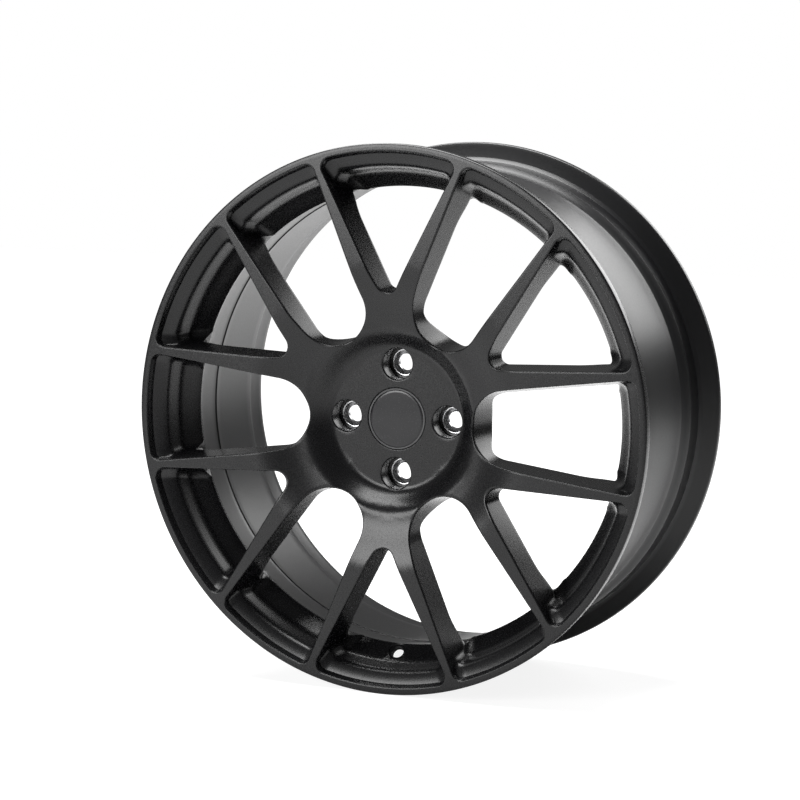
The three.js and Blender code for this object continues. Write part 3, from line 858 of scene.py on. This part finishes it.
# %% [markdown]
# The studio is a pale floor under a white sky, with one large soft light overhead and to the
# left. The floor and the sky are white to the camera and to reflections, and the floor keeps
# part of its own shading, so the wheel's shadow stays on it.

# %% Studio
FLOOR_SIZE = 12.0
SHADOW_SHARE = 0.3


GLOSS_SHARE = 0.12  # how much of the white backdrop a reflection shows


def backdrop_strength(tree, low, high):
    """low for the rays that light the wheel, and high for camera and transmission rays. Glossy
    rays get GLOSS_SHARE of the way from low to high."""
    path = tree.nodes.new("ShaderNodeLightPath")
    shares = {"Is Camera Ray": 1.0, "Is Glossy Ray": GLOSS_SHARE, "Is Transmission Ray": 1.0}
    total = None
    for kind, share in shares.items():
        part = ramp(tree, path.outputs[kind], 0, 1, 0, share)
        if total is not None:
            node = tree.nodes.new("ShaderNodeMath")
            node.operation = "MAXIMUM"
            tree.links.new(total, node.inputs[0])
            tree.links.new(part, node.inputs[1])
            part = node.outputs[0]
        total = part
    return ramp(tree, total, 0, 1, low, high)


def white_world():
    """White to the camera and reflections, and a dim grey to light the wheel with."""
    world = bpy.data.worlds.new("studio")
    bpy.context.scene.world = world
    world.use_nodes = True
    tree = world.node_tree
    background = tree.nodes["Background"]
    background.inputs["Color"].default_value = (1, 1, 1, 1)
    tree.links.new(backdrop_strength(tree, 0.08, 1.0), background.inputs["Strength"])


WHITE_RANGE = (0.35, 0.8)  # metres from the centre over which the floor's white grows
WHITE_STRENGTH = (1.25, 1.5)


def pale_floor():
    """A square sheet under the wheel: a pale diffuse, mixed for the camera with a white that
    grows with distance, so that a shadow shows near the wheel and no horizon does."""
    z = cad_box[0][2]
    half = FLOOR_SIZE / 2
    mesh = bpy.data.meshes.new("floor")
    corners = [(-half, -half, z), (half, -half, z), (half, half, z), (-half, half, z)]
    mesh.from_pydata(corners, [], [(0, 1, 2, 3)])
    floor = bpy.data.objects.new("floor", mesh)
    bpy.context.scene.collection.objects.link(floor)
    material, tree, shader, where = new_material("pale_floor")
    mottle = noise(tree, where, 3, 3)
    tree.links.new(tint(tree, mottle, (0.80, 0.80, 0.80), (0.84, 0.84, 0.84)), shader.inputs["Base Color"])
    shader.inputs["Roughness"].default_value = 0.9
    shader.inputs["Specular IOR Level"].default_value = 0.0
    white = tree.nodes.new("ShaderNodeEmission")
    length = tree.nodes.new("ShaderNodeVectorMath")
    length.operation = "LENGTH"
    tree.links.new(where, length.inputs[0])
    strength = ramp(tree, length.outputs["Value"], *WHITE_RANGE, *WHITE_STRENGTH)
    tree.links.new(strength, white.inputs["Strength"])
    mix = tree.nodes.new("ShaderNodeMixShader")
    tree.links.new(backdrop_strength(tree, 0, 1 - SHADOW_SHARE), mix.inputs["Fac"])
    tree.links.new(shader.outputs["BSDF"], mix.inputs[1])
    tree.links.new(white.outputs["Emission"], mix.inputs[2])
    tree.links.new(mix.outputs["Shader"], tree.nodes["Material Output"].inputs["Surface"])
    mesh.materials.append(material)


def soft_light(name, place, aim, size, power):
    """A square area light at place that faces aim."""
    light = bpy.data.objects.new(name, bpy.data.lights.new(name, "AREA"))
    light.data.size = size
    light.data.energy = power
    light.location = place
    light.rotation_euler = (Vector(place) - Vector(aim)).to_track_quat("Z", "Y").to_euler()
    bpy.context.scene.collection.objects.link(light)


white_world()
pale_floor()
soft_light("overhead", (-0.4, 0.1, 1.8), (0, 0, 0), 1.5, 115)
soft_light("left_front", (-1.05, -2.3, 0.68), (0, 0, 0), 1.1, 52)
soft_light("rear", (0.7, 1.7, 1.0), (0, 0, 0), 1.2, 25)
